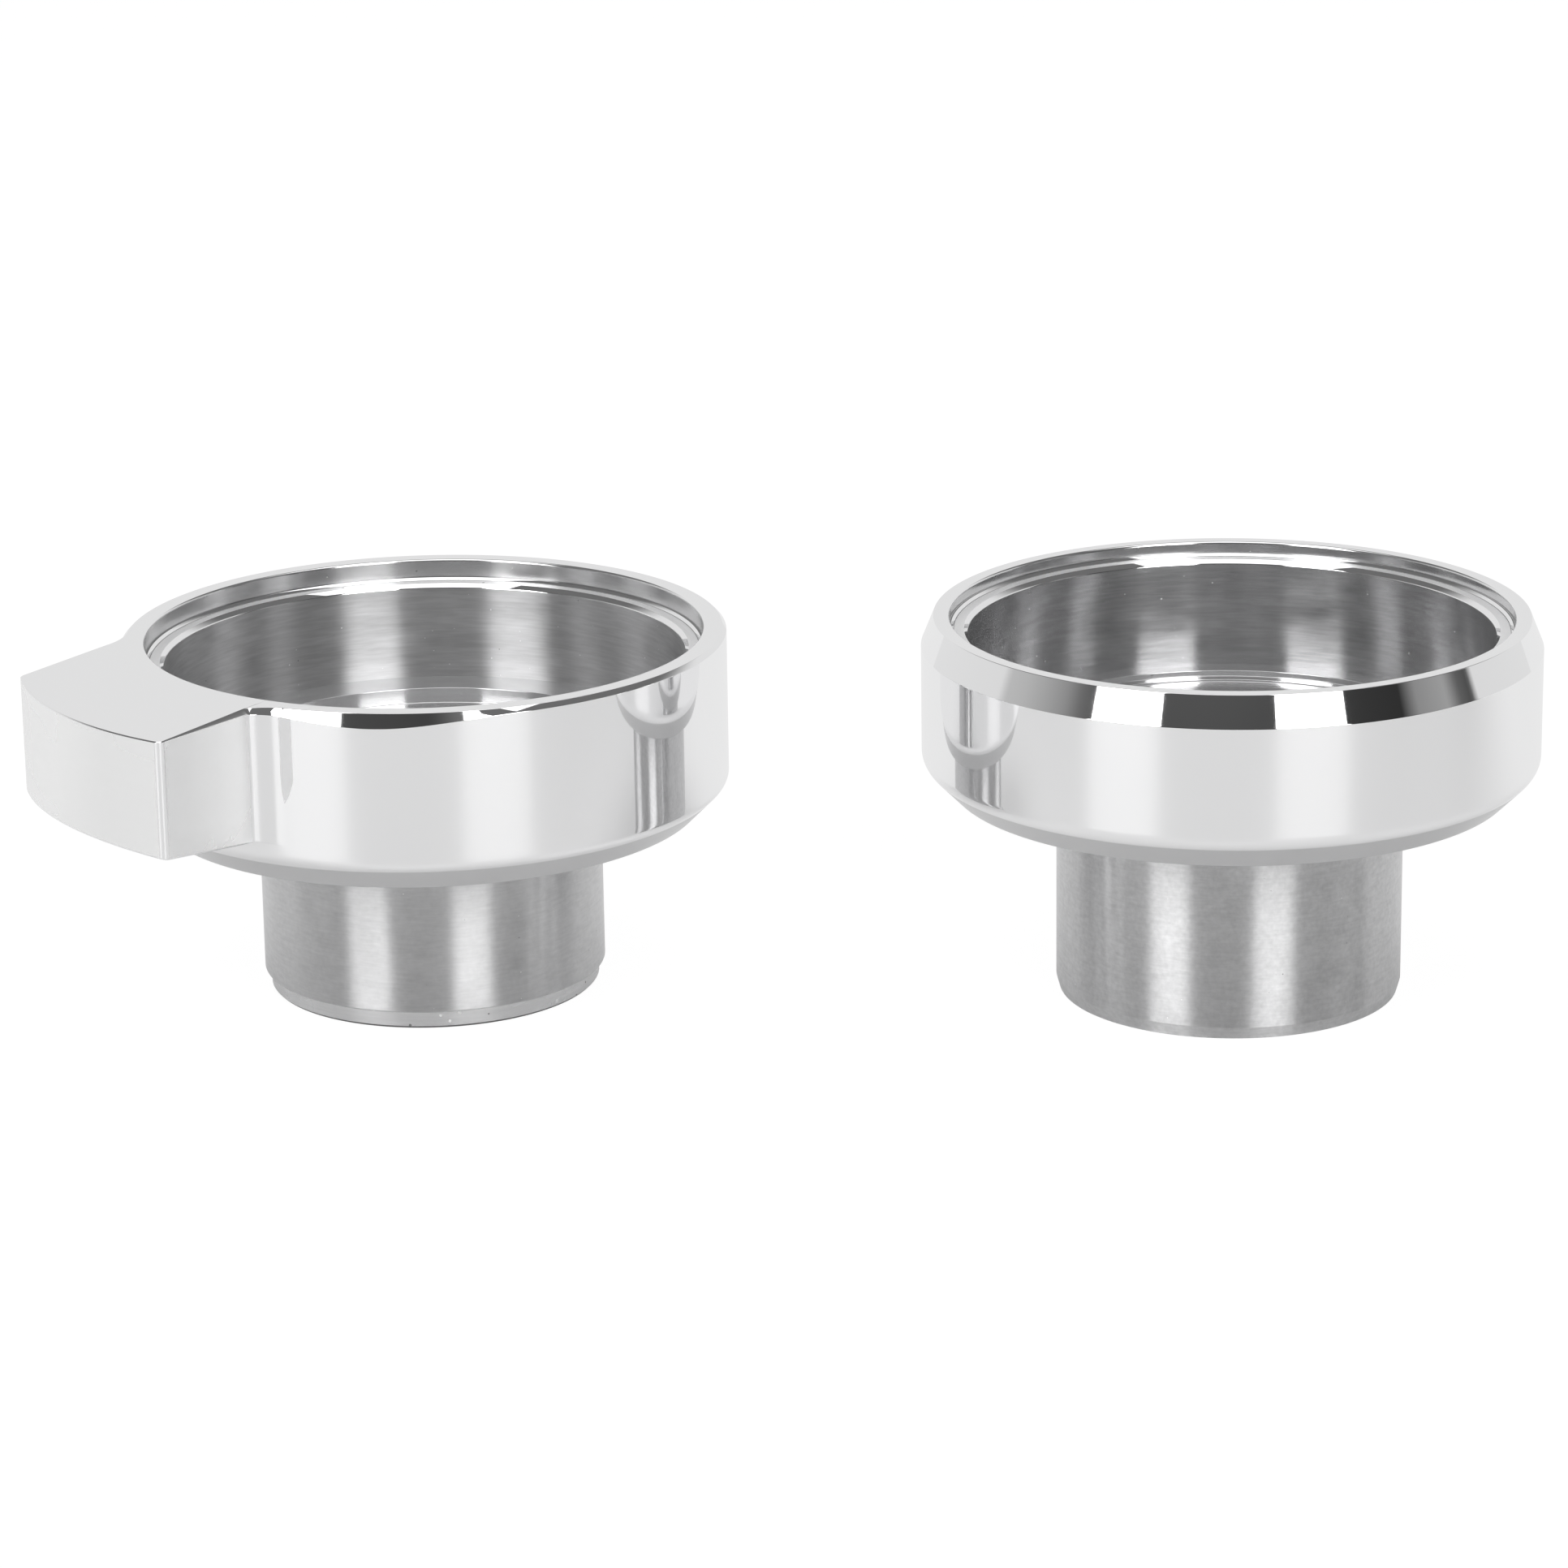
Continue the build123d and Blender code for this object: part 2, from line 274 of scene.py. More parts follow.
left_box = soft_box("left_soft_box", -42.5, 0.63, 0.20, 1.38)
right_box = soft_box("right_soft_box", 27.3, 0.60, 0.22, 1.45)
overhead_data = bpy.data.lights.new("overhead_soft_box", "AREA")
overhead_data.shape = "SQUARE"
overhead_data.size = overhead_width
overhead_data.energy = power_for(overhead_radiance, overhead_width, overhead_width)
overhead_box = new_object("overhead_soft_box", overhead_data)
overhead_box.location = (0.0, 0.0, overhead_height)
for lamp in (left_box, right_box, overhead_box):
    print(lamp.name, round(lamp.data.energy, 2), "W")

# %% [markdown]
# ## Table
# A lit white surface is never quite white, so a product shot burns the table out. Here the table glows
# where the camera sees it, and keeps a little of its own shading for a trace of shadow. Polished metal
# has to show that white too, but mostly the part behind the holders: in front of them it would drown
# the dark strips. The glow is a touch weaker in the metal, so that the holders keep an edge against it.

# %% Table top
table_half_width = 4.0                             # metres
white_share = 0.92                                 # how much of the table's colour is glow, for the camera
white_strength, weaker_in_metal = 1.05, 0.22
glow_starts, glow_full = -0.02, 0.08               # metres towards the back, from the middle of the table
glow_in_front = 0.10

table_mesh = bpy.data.meshes.new("table_top")
sheet = bmesh.new()
bmesh.ops.create_grid(sheet, x_segments=1, y_segments=1, size=table_half_width)
sheet.to_mesh(table_mesh)
sheet.free()
table_top = new_object("table_top", table_mesh)

table_paint = bpy.data.materials.new("white_table")
table_paint.use_nodes = True
table = table_paint.node_tree
table.nodes.clear()
lit = add_node(table, "ShaderNodeBsdfPrincipled")
lit.inputs["Base Color"].default_value = grey(0.86)
lit.inputs["Roughness"].default_value = 0.38
lit.inputs["Specular IOR Level"].default_value = 0.08
table_path = add_node(table, "ShaderNodeLightPath")
seen_direct = arithmetic(table, "MULTIPLY", table_path.outputs["Is Camera Ray"], white_share)
behind = remap(table, place_on_piece(table)["Y"], glow_starts, glow_full, glow_in_front, 1.0, soft=True)
seen_in_metal = arithmetic(table, "MULTIPLY", table_path.outputs["Is Glossy Ray"], behind)
glow = add_node(table, "ShaderNodeEmission")
lost_in_metal = arithmetic(table, "MULTIPLY", seen_in_metal, weaker_in_metal)
join(table, arithmetic(table, "SUBTRACT", white_strength, lost_in_metal), glow.inputs["Strength"])
blend_white = add_node(table, "ShaderNodeMixShader")
join(table, arithmetic(table, "MAXIMUM", seen_direct, seen_in_metal), blend_white.inputs[0])
join(table, lit.outputs[0], blend_white.inputs[1])
join(table, glow.outputs[0], blend_white.inputs[2])
table_out = add_node(table, "ShaderNodeOutputMaterial")
join(table, blend_white.outputs[0], table_out.inputs[0])
table_mesh.materials.append(table_paint)
print("table top", table_top.dimensions.x, "m wide")

# %% [markdown]
# ## Turned pieces
# Ten of the eleven pieces of the pair come off a lathe: a profile is turned about an axis.
# A lathe is easy to write as Geometry Nodes. The profile is a loop of corners drawn in radius and
# height, each with its own edge rounding, because no real edge is perfectly sharp, and it is the
# rounding that catches the light. The tree rounds the loop, lays a grid of points over it and wraps
# the grid round the axis. It was chosen over a Screw modifier because the roundings stay adjustable.

# %% The lathe's inputs
lathe = bpy.data.node_groups.new("lathe", "GeometryNodeTree")

def lathe_input(label, kind):
    """A named input of the lathe."""
    return lathe.interface.new_socket(label, in_out="INPUT", socket_type=kind)

lathe_input("Profile", "NodeSocketGeometry")
steps_socket = lathe_input("Steps Round", "NodeSocketInt")
corner_socket = lathe_input("Steps per Corner", "NodeSocketInt")
centre_socket = lathe_input("Centre", "NodeSocketVector")
finish_socket = lathe_input("Finish", "NodeSocketMaterial")
lathe.interface.new_socket("Turned Piece", in_out="OUTPUT", socket_type="NodeSocketGeometry")
given = add_node(lathe, "NodeGroupInput")
print("lathe inputs:", [item.name for item in lathe.interface.items_tree if item.in_out == "INPUT"])

# %% Round the corners of the profile
outline_curve = add_node(lathe, "GeometryNodeMeshToCurve")
join(lathe, given.outputs["Profile"], outline_curve.inputs[0])
rounding = add_node(lathe, "GeometryNodeInputNamedAttribute", data_type="FLOAT")
rounding.inputs["Name"].default_value = "rounding"
rounded = add_node(lathe, "GeometryNodeFilletCurve", mode="POLY")
rounded.inputs["Limit Radius"].default_value = True
join(lathe, outline_curve.outputs[0], rounded.inputs["Curve"])
join(lathe, given.outputs["Steps per Corner"], rounded.inputs["Count"])
join(lathe, rounding.outputs["Attribute"], rounded.inputs["Radius"])
count = add_node(lathe, "GeometryNodeAttributeDomainSize", component="CURVE")
join(lathe, rounded.outputs[0], count.inputs[0])
profile_points = count.outputs["Point Count"]
print("profile rounded by", len(lathe.nodes), "nodes")

# %% Number the points of a grid by profile point and by step round the axis
# The grid has one more row and column than the profile and the steps, and those close the piece.
net = add_node(lathe, "GeometryNodeMeshGrid")
join(lathe, arithmetic(lathe, "ADD", profile_points, 1), net.inputs["Vertices X"])
net_columns = arithmetic(lathe, "ADD", given.outputs["Steps Round"], 1)
join(lathe, net_columns, net.inputs["Vertices Y"])
which = add_node(lathe, "GeometryNodeInputIndex").outputs[0]
row = arithmetic(lathe, "FLOOR", arithmetic(lathe, "DIVIDE", arithmetic(lathe, "ADD", which, 0.5), net_columns))
profile_number = arithmetic(lathe, "MODULO", row, profile_points)
step_number = arithmetic(lathe, "SUBTRACT", which, arithmetic(lathe, "MULTIPLY", row, net_columns))
print("grid numbered")

# %% Wrap the grid round the axis
spot = add_node(lathe, "GeometryNodeInputPosition")
sampled = add_node(lathe, "GeometryNodeSampleIndex", data_type="FLOAT_VECTOR", domain="POINT")
join(lathe, rounded.outputs[0], sampled.inputs["Geometry"])
join(lathe, spot.outputs[0], sampled.inputs["Value"])
join(lathe, profile_number, sampled.inputs["Index"])
drawn = add_node(lathe, "ShaderNodeSeparateXYZ")
join(lathe, sampled.outputs[0], drawn.inputs[0])
drawn_radius, drawn_height = drawn.outputs["X"], drawn.outputs["Z"]
part_round = arithmetic(lathe, "DIVIDE", step_number, given.outputs["Steps Round"])
turned_by = arithmetic(lathe, "MULTIPLY", part_round, 2 * pi)
wrapped = add_node(lathe, "ShaderNodeCombineXYZ")
for label, operation in (("X", "COSINE"), ("Y", "SINE")):
    spoke = arithmetic(lathe, operation, turned_by)
    join(lathe, arithmetic(lathe, "MULTIPLY", drawn_radius, spoke), wrapped.inputs[label])
join(lathe, drawn_height, wrapped.inputs["Z"])
moved = add_node(lathe, "ShaderNodeVectorMath", operation="ADD")
join(lathe, wrapped.outputs[0], moved.inputs[0])
join(lathe, given.outputs["Centre"], moved.inputs[1])
shaped = add_node(lathe, "GeometryNodeSetPosition")
join(lathe, net.outputs["Mesh"], shaped.inputs["Geometry"])
join(lathe, moved.outputs[0], shaped.inputs["Position"])
print("grid wrapped")

# %% Close the piece and give it its finish
sealed = add_node(lathe, "GeometryNodeMergeByDistance")
sealed.inputs["Distance"].default_value = 1e-7
join(lathe, shaped.outputs[0], sealed.inputs["Geometry"])
real = add_node(lathe, "GeometryNodeRealizeInstances")
join(lathe, sealed.outputs[0], real.inputs[0])
painted = add_node(lathe, "GeometryNodeSetMaterial")
join(lathe, real.outputs[0], painted.inputs["Geometry"])
join(lathe, given.outputs["Finish"], painted.inputs["Material"])
result = add_node(lathe, "NodeGroupOutput")
join(lathe, painted.outputs[0], result.inputs[0])
print("lathe tree has", len(lathe.nodes), "nodes")

# %% [markdown]
# ## From a raw mesh to a finished piece
# Every piece, turned or milled, is finished in the same way. The mesh is cleaned and its faces point
# outwards. It gets a UV map called turning, which runs once round the axis, so that brushing and long
# reflections can follow it. Edges that turn sharply are marked, and the normals are weighted by face
# area: the broad faces then stay flat in the reflection and only the narrow roundings bend it.

# %% Clean a mesh and mark its edges
sharp_turn = radians(20)

def clean_and_smooth(mesh):
    """Drop faces without area, turn the others outwards and shade them smooth."""
    work = bmesh.new()
    work.from_mesh(mesh)
    bmesh.ops.dissolve_degenerate(work, edges=work.edges, dist=1e-8)
    bmesh.ops.recalc_face_normals(work, faces=work.faces)
    work.to_mesh(mesh)
    work.free()
    for polygon in mesh.polygons:
        polygon.use_smooth = True

def sharpen(mesh):
    """Mark every edge that turns more than sharp_turn, so that shading breaks there."""
    work = bmesh.new()
    work.from_mesh(mesh)
    marked = 0
    for edge in work.edges:
        sharp = len(edge.link_faces) != 2 or edge.calc_face_angle(0.0) > sharp_turn
        edge.smooth = not sharp
        marked += sharp
    work.to_mesh(mesh)
    work.free()
    return marked

print("edges are marked from", round(degrees(sharp_turn)), "degrees")

# %% Lay the turning map over a mesh
# V grows up a wall and out across a flat face, so that it stands still on neither.
v_per_height, v_per_radius = 10, 7

def map_turning(mesh, centre):
    """A UV map that runs once round the axis in U and along the profile in V."""
    turning = mesh.uv_layers.new(name="turning")
    for polygon in mesh.polygons:
        middle = polygon.center - centre
        facing = atan2(middle.y, middle.x)
        for loop in polygon.loop_indices:
            place = mesh.vertices[mesh.loops[loop].vertex_index].co - centre
            round_it = atan2(place.y, place.x) if place.length > 1e-9 else facing
            if round_it - facing > pi:
                round_it -= 2 * pi
            elif facing - round_it > pi:
                round_it += 2 * pi
            radius = sqrt(place.x ** 2 + place.y ** 2)
            turning.data[loop].uv = (round_it / (2 * pi), v_per_height * place.z + v_per_radius * radius)

print("turning map: V grows by", v_per_height, "a metre up and by", v_per_radius, "a metre out")

# %% Finish a piece and stand it in for the measured one
def finish_piece(name, mesh, holder, finish_slot, *nodes):
    """Weight the normals by face area, keep the result as plain mesh data, and stand in for the nodes."""
    clean_and_smooth(mesh)
    map_turning(mesh, holder.axis)
    marked = sharpen(mesh)
    draft = new_object(name + "_draft", mesh)
    weighted = draft.modifiers.new("broad_faces_first", "WEIGHTED_NORMAL")
    weighted.keep_sharp = True
    weighted.weight = 100
    evaluated = draft.evaluated_get(bpy.context.evaluated_depsgraph_get())
    baked = bpy.data.meshes.new_from_object(evaluated)
    bpy.data.objects.remove(draft)
    piece = new_object(name, baked)
    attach(piece, holder.body)
    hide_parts(*nodes)
    print(name, len(baked.polygons), "faces,", marked, "sharp edges")
    return piece

def paint_where(piece, holder, material, rule):
    """Give the faces that pass a rule of (radius, height, lean) in millimetres a finish of their own."""
    mesh = piece.data
    mesh.materials.append(material)
    slot, painted_faces = len(mesh.materials) - 1, 0
    for polygon in mesh.polygons:
        middle = (polygon.center - holder.axis) / mm
        if rule(sqrt(middle.x ** 2 + middle.y ** 2), middle.z, polygon.normal.z):
            polygon.material_index = slot
            painted_faces += 1
    print(piece.name, "has", painted_faces, "faces of", material.name)

# %% Turn a profile into a finished piece
steps_per_corner = 6
ring_steps, collar_steps = 256, 360

def turn_piece(name, holder, profile, material, finish_slot, *nodes, steps=ring_steps):
    """Turn a loop of (radius, height, rounding) corners in millimetres about the holder's axis."""
    drawing = bpy.data.meshes.new(name + "_profile")
    corners = [(radius * mm, 0.0, height * mm) for radius, height, _ in profile]
    edges = [(i, (i + 1) % len(corners)) for i in range(len(corners))]
    drawing.from_pydata(corners, edges, [])
    sizes = drawing.attributes.new("rounding", "FLOAT", "POINT")
    sizes.data.foreach_set("value", [size * mm for _, _, size in profile])
    blank = new_object(name + "_blank", drawing)
    modifier = blank.modifiers.new("turn", "NODES")
    modifier.node_group = lathe
    modifier[steps_socket.identifier] = steps
    modifier[corner_socket.identifier] = steps_per_corner
    modifier[centre_socket.identifier] = holder.axis
    modifier[finish_socket.identifier] = material
    blank.update_tag()
    bpy.context.view_layer.update()
    evaluated = blank.evaluated_get(bpy.context.evaluated_depsgraph_get())
    mesh = bpy.data.meshes.new_from_object(evaluated)
    bpy.data.objects.remove(blank)
    return finish_piece(name, mesh, holder, finish_slot, *nodes)

print("a ring is turned in", ring_steps, "steps and a collar in", collar_steps)

# %% [markdown]
# ## Finishes
# All the steel is the same alloy. What differs is how it was worked: the collars are buffed to a
# mirror, the necks and cups are brushed on the lathe, so their scratches run round the axis, and the
# seats and floors are fine turned. Brushed steel pulls a highlight out across its scratches: that is an
# anisotropic reflection, and it takes its direction from the turning map. The grain and the small
# casting pits are node groups, built once and used with different values in each finish.
# Painting these marks on images would fix their size. Noise and cells in the piece's own coordinates
# stay sharp at any distance and need no unwrapping.

# %% A helper for node groups
def new_group(name, inputs, outputs):
    """A shader node group with float or vector inputs and outputs."""
    group = bpy.data.node_groups.new(name, "ShaderNodeTree")
    for label, kind, value in inputs:
        socket = group.interface.new_socket(label, in_out="INPUT", socket_type=kind)
        socket.default_value = value
    for label, kind in outputs:
        group.interface.new_socket(label, in_out="OUTPUT", socket_type=kind)
    return group, add_node(group, "NodeGroupInput"), add_node(group, "NodeGroupOutput")

def noise(tree, where, scale, detail):
    """A Noise Texture, read at a vector."""
    made = add_node(tree, "ShaderNodeTexNoise")
    made.inputs["Scale"].default_value = scale
    made.inputs["Detail"].default_value = detail
    join(tree, where, made.inputs["Vector"])
    return made.outputs[0]

print("group helpers ready")

# %% Grain that runs round an axis
# Noise is squeezed across the scratches and stretched along them. Broad is a wider copy of the same.
broad_share = (0.7, 0.7, 0.12)

turned_grain, grain_in, grain_out = new_group(
    "turned_grain",
    [("Centre", "NodeSocketVector", (0, 0, 0)),
     ("Lines per Metre", "NodeSocketFloat", 4000.0),
     ("Length", "NodeSocketFloat", 60.0)],
    [("Fine", "NodeSocketFloat"), ("Broad", "NodeSocketFloat")],
)
grain_spot = add_node(turned_grain, "ShaderNodeTexCoord")
from_axis = add_node(turned_grain, "ShaderNodeVectorMath", operation="SUBTRACT")
join(turned_grain, grain_spot.outputs["Object"], from_axis.inputs[0])
join(turned_grain, grain_in.outputs["Centre"], from_axis.inputs[1])
along = add_node(turned_grain, "ShaderNodeSeparateXYZ")
join(turned_grain, from_axis.outputs[0], along.inputs[0])
level_only = add_node(turned_grain, "ShaderNodeCombineXYZ")
stretched = add_node(turned_grain, "ShaderNodeCombineXYZ")
for label in ("X", "Y"):
    join(turned_grain, along.outputs[label], level_only.inputs[label])
    stretch = arithmetic(turned_grain, "MULTIPLY", along.outputs[label], grain_in.outputs["Length"])
    join(turned_grain, stretch, stretched.inputs[label])
distance = add_node(turned_grain, "ShaderNodeVectorMath", operation="LENGTH")
join(turned_grain, level_only.outputs[0], distance.inputs[0])
across = arithmetic(turned_grain, "ADD", distance.outputs["Value"], along.outputs["Z"])
squeeze = arithmetic(turned_grain, "MULTIPLY", across, grain_in.outputs["Lines per Metre"])
join(turned_grain, squeeze, stretched.inputs["Z"])
wider = add_node(turned_grain, "ShaderNodeVectorMath", operation="MULTIPLY")
join(turned_grain, stretched.outputs[0], wider.inputs[0])
wider.inputs[1].default_value = broad_share
join(turned_grain, noise(turned_grain, stretched.outputs[0], 1.0, 3.0), grain_out.inputs["Fine"])
join(turned_grain, noise(turned_grain, wider.outputs[0], 1.0, 2.0), grain_out.inputs["Broad"])
print("turned grain has", len(turned_grain.nodes), "nodes")

# %% Small pits and bright specks
# Space is cut into cells. A few cells, picked by their random colour, carry one round mark each.
bright_marks_from = 0.4

pits, pits_in, pits_out = new_group(
    "casting_pits",
    [("Cells per Metre", "NodeSocketFloat", 700.0),
     ("Share", "NodeSocketFloat", 0.12),
     ("Size", "NodeSocketFloat", 0.14)],
    [("Pit", "NodeSocketFloat"), ("Speck", "NodeSocketFloat")],
)
pit_spot = add_node(pits, "ShaderNodeTexCoord")
cells = add_node(pits, "ShaderNodeTexVoronoi")
join(pits, pit_spot.outputs["Object"], cells.inputs["Vector"])
join(pits, pits_in.outputs["Cells per Metre"], cells.inputs["Scale"])
chance = add_node(pits, "ShaderNodeSeparateColor")
join(pits, cells.outputs["Color"], chance.inputs[0])
chosen = arithmetic(pits, "LESS_THAN", chance.outputs[0], pits_in.outputs["Share"])
mark_size = arithmetic(pits, "MULTIPLY", chance.outputs[1], pits_in.outputs["Size"])
inside_mark = arithmetic(pits, "LESS_THAN", cells.outputs["Distance"], mark_size)
mark = arithmetic(pits, "MULTIPLY", chosen, inside_mark)
bright = arithmetic(pits, "GREATER_THAN", chance.outputs[2], bright_marks_from)
dark = arithmetic(pits, "SUBTRACT", 1.0, bright)
join(pits, arithmetic(pits, "MULTIPLY", mark, bright), pits_out.inputs["Speck"])
join(pits, arithmetic(pits, "MULTIPLY", mark, dark), pits_out.inputs["Pit"])
print("casting pits have", len(pits.nodes), "nodes")

# %% Parts of a steel finish
fine_weight, broad_weight = 0.6, 0.4                   # how the two grains mix
mottle_scale, wave_scale = 1700.0, 45.0                # patches and waves per metre
pit_colour, pit_cover, pit_depth = grey(0.12), 0.7, 0.01
speck_colour, speck_dullness = grey(0.95), 0.35
# The satin foot is rougher, and its darker grey is painted shade under the collar.
painted_shade_satin_colour, satin_dullness, satin_edge = steel_grey(0.66), 0.22, 0.15

def use_group(tree, group, **values):
    """Place a group in a material and set its inputs; underscores stand for spaces."""
    made = add_node(tree, "ShaderNodeGroup")
    made.node_tree = group
    for label, value in values.items():
        made.inputs[label.replace("_", " ")].default_value = value
    return made

def scaled(tree, value, middle, spread):
    """Map the usual run of noise, a quarter to three quarters, to a range about a middle value."""
    return remap(tree, value, 0.25, 0.75, middle - spread, middle + spread)

def noise_on_piece(tree, scale, detail):
    """Noise in the piece's own coordinates."""
    here = add_node(tree, "ShaderNodeTexCoord")
    return noise(tree, here.outputs["Object"], scale, detail)

def brushed_colour(tree, colour, grain, grain_shade, mottle):
    """The steel's colour, lighter and darker by the brushing, and by a fine mottle where asked."""
    fine_part = arithmetic(tree, "MULTIPLY", grain.outputs["Fine"], fine_weight)
    broad_part = arithmetic(tree, "MULTIPLY", grain.outputs["Broad"], broad_weight)
    shade = scaled(tree, arithmetic(tree, "ADD", fine_part, broad_part), 1, grain_shade)
    if mottle:
        blotch = scaled(tree, noise_on_piece(tree, mottle_scale, 2.0), 1, mottle)
        shade = arithmetic(tree, "MULTIPLY", shade, blotch)
    return mix_colours(tree, 1.0, colour, shade, blend="MULTIPLY")

def marked_colour(tree, colour, pit):
    """A colour with dark pits and bright specks in it."""
    covered = arithmetic(tree, "MULTIPLY", pit.outputs["Pit"], pit_cover)
    pitted = mix_colours(tree, covered, colour, pit_colour)
    return mix_colours(tree, pit.outputs["Speck"], pitted, speck_colour)

def satin_foot_and_painted_shade(tree, colour, rough, satin_below):
    """Colour and roughness that give way to a plain turned foot below a height in millimetres: the rougher
    satin is real, the darker colour is painted shade.
    """
    foot_from, foot_to = (satin_below + satin_edge) * mm, (satin_below - satin_edge) * mm
    foot = remap(tree, place_on_piece(tree)["Z"], foot_from, foot_to, 0.0, 1.0, soft=True)
    rougher = arithmetic(tree, "ADD", rough, arithmetic(tree, "MULTIPLY", foot, satin_dullness))
    return mix_colours(tree, foot, colour, painted_shade_satin_colour), rougher

def fine_relief(tree, grain, pit, grain_depth, ripple):
    """A normal bent by scratches, by the slow waves of hand polishing and by pits, in millimetres deep."""
    scratches = arithmetic(tree, "MULTIPLY", grain.outputs["Fine"], grain_depth * mm)
    waves = arithmetic(tree, "MULTIPLY", noise_on_piece(tree, wave_scale, 1.0), ripple * mm)
    holes = arithmetic(tree, "MULTIPLY", pit.outputs["Pit"], pit_depth * mm)
    relief = arithmetic(tree, "SUBTRACT", arithmetic(tree, "ADD", scratches, waves), holes)
    bump = add_node(tree, "ShaderNodeBump")
    bump.inputs["Strength"].default_value = 1.0
    bump.inputs["Distance"].default_value = 1.0
    join(tree, relief, bump.inputs["Height"])
    return bump.outputs[0]

print("parts of the finishes ready")

# %% Put a finish together
def steel(name, colour, rough, anisotropy, holder, lines=3600.0, length=60.0, grain_depth=0.0,
          grain_shade=0.04, rough_spread=0.04, pit_share=0.0, pit_size=0.14, pit_cells=700.0,
          ripple=0.0, satin_below=None, metallic=1.0, mottle=0.0):
    """A steel finish: colour, shine, direction of brushing, grain, pits and a slight ripple.

    Metallic just below 1 stands for the dull film that use leaves on the inside.
    """
    material = bpy.data.materials.new(name)
    material.use_nodes = True
    tree = material.node_tree
    metal = tree.nodes["Principled BSDF"]
    metal.inputs["Metallic"].default_value = metallic
    metal.inputs["Anisotropic"].default_value = anisotropy
    metal.inputs["Anisotropic Rotation"].default_value = 0.25
    grain = use_group(tree, turned_grain, Centre=holder.axis, Lines_per_Metre=lines, Length=length)
    pit = use_group(tree, pits, Cells_per_Metre=pit_cells, Share=pit_share, Size=pit_size)
    surface = marked_colour(tree, brushed_colour(tree, colour, grain, grain_shade, mottle), pit)
    dullness = scaled(tree, grain.outputs["Broad"], rough, rough_spread)
    if pit_share > 0.1:
        dull_specks = arithmetic(tree, "MULTIPLY", pit.outputs["Speck"], speck_dullness)
        dullness = arithmetic(tree, "ADD", dullness, dull_specks)
    # Low on the collar the steel turns rougher, and its colour darker as painted shade.
    if satin_below is not None:
        surface, dullness = satin_foot_and_painted_shade(tree, surface, dullness, satin_below)
    join(tree, surface, metal.inputs["Base Color"])
    join(tree, dullness, metal.inputs["Roughness"])
    join(tree, fine_relief(tree, grain, pit, grain_depth, ripple), metal.inputs["Normal"])
    if anisotropy:
        run = add_node(tree, "ShaderNodeTangent", direction_type="UV_MAP", uv_map="turning")
        join(tree, run.outputs[0], metal.inputs["Tangent"])
    print(name, "grey", round(colour[0], 2), "roughness", rough)
    return material

# %% [markdown]
# ## The finishes of each holder
# One holder needs seven finishes. The mirror polish ends in a rougher satin band under the collar,
# whose darker colour is painted shade. The corner at the foot of the recess is painted dark as shade,
# a thin dark line. The cup, its seat and its floor carry the film that coffee leaves, so they are a
# little less metallic, and the neck has a faint mottle from handling. The two holders come from
# different batches: their cups, recesses and necks differ a little, so those values are given for each.

# %% Make the finishes of one holder
def finishes_for(holder, satin_below, cup_level, cup_rough, cup_anisotropy,
                 recess_rough, recess_anisotropy, neck_mottle):
    """The finishes of one holder, with the grain centred on its axis."""
    brushed_inside = dict(lines=3000.0, length=250.0, pit_share=0.30, pit_size=0.12, pit_cells=1100.0)

    def finish(name, *values, **details):
        return steel(holder.side + "_" + name, *values, holder, **details)

    return {
        "collar": finish("mirror_polish", steel_grey(0.95), 0.035, 0.0, grain_shade=0.0, rough_spread=0.01,
                         pit_share=0.02, pit_size=0.1, ripple=0.006, satin_below=satin_below),
        "recess": finish("turned_recess", steel_grey(0.70), recess_rough, recess_anisotropy, grain_depth=0.004,
                         grain_shade=0.10, rough_spread=0.05, metallic=0.90, **brushed_inside),
        # A dark grey painted as shade in the corner at the foot of the recess, and on the lip's bevel.
        "corner": finish("painted_shade_corner", grey(0.20), 0.30, 0.0, grain_shade=0.10),
        "seat": finish("turned_seat", steel_grey(0.94), 0.36, 0.3, pit_share=0.05, metallic=0.60),
        "cup": finish("brushed_cup", steel_grey(cup_level), cup_rough, cup_anisotropy,
                      grain_depth=0.007, grain_shade=0.20, metallic=0.80, **brushed_inside),
        "floor": finish("turned_floor", steel_grey(0.74), 0.12, 0.5, rough_spread=0.03, pit_share=0.05,
                        metallic=0.80),
        "neck": finish("brushed_neck", steel_grey(0.66), 0.33, 1.0, lines=3000.0, length=450.0,
                       grain_depth=0.012, grain_shade=0.10, rough_spread=0.05, pit_share=0.10, pit_size=0.12,
                       pit_cells=1300.0, mottle=neck_mottle),
    }

plain_finish = finishes_for(plain, satin_below=27.6, cup_level=0.46, cup_rough=0.20, cup_anisotropy=0.9,
                            recess_rough=0.14, recess_anisotropy=0.7, neck_mottle=0.08)
tabbed_finish = finishes_for(tabbed, satin_below=24.0, cup_level=0.53, cup_rough=0.32, cup_anisotropy=1.0,
                             recess_rough=0.20, recess_anisotropy=1.0, neck_mottle=0.04)

# %% Two finishes that only the tabbed holder has
tabbed_finish["lip"] = steel(
    "tabbed_machined_lip", steel_grey(0.74), 0.25, 0.3, tabbed, lines=3000.0, length=250.0,
    grain_shade=0.08, rough_spread=0.05, pit_share=0.35, pit_size=0.22, pit_cells=900.0)
tabbed_finish["tab"] = steel(
    "hand_rubbed_tab", grey(0.96), 0.27, 0.0, tabbed, lines=1200.0,
    grain_shade=0.006, rough_spread=0.008, pit_share=0.02, pit_size=0.1, metallic=0.65)
print("finishes:", len(plain_finish), "plain and", len(tabbed_finish), "tabbed")

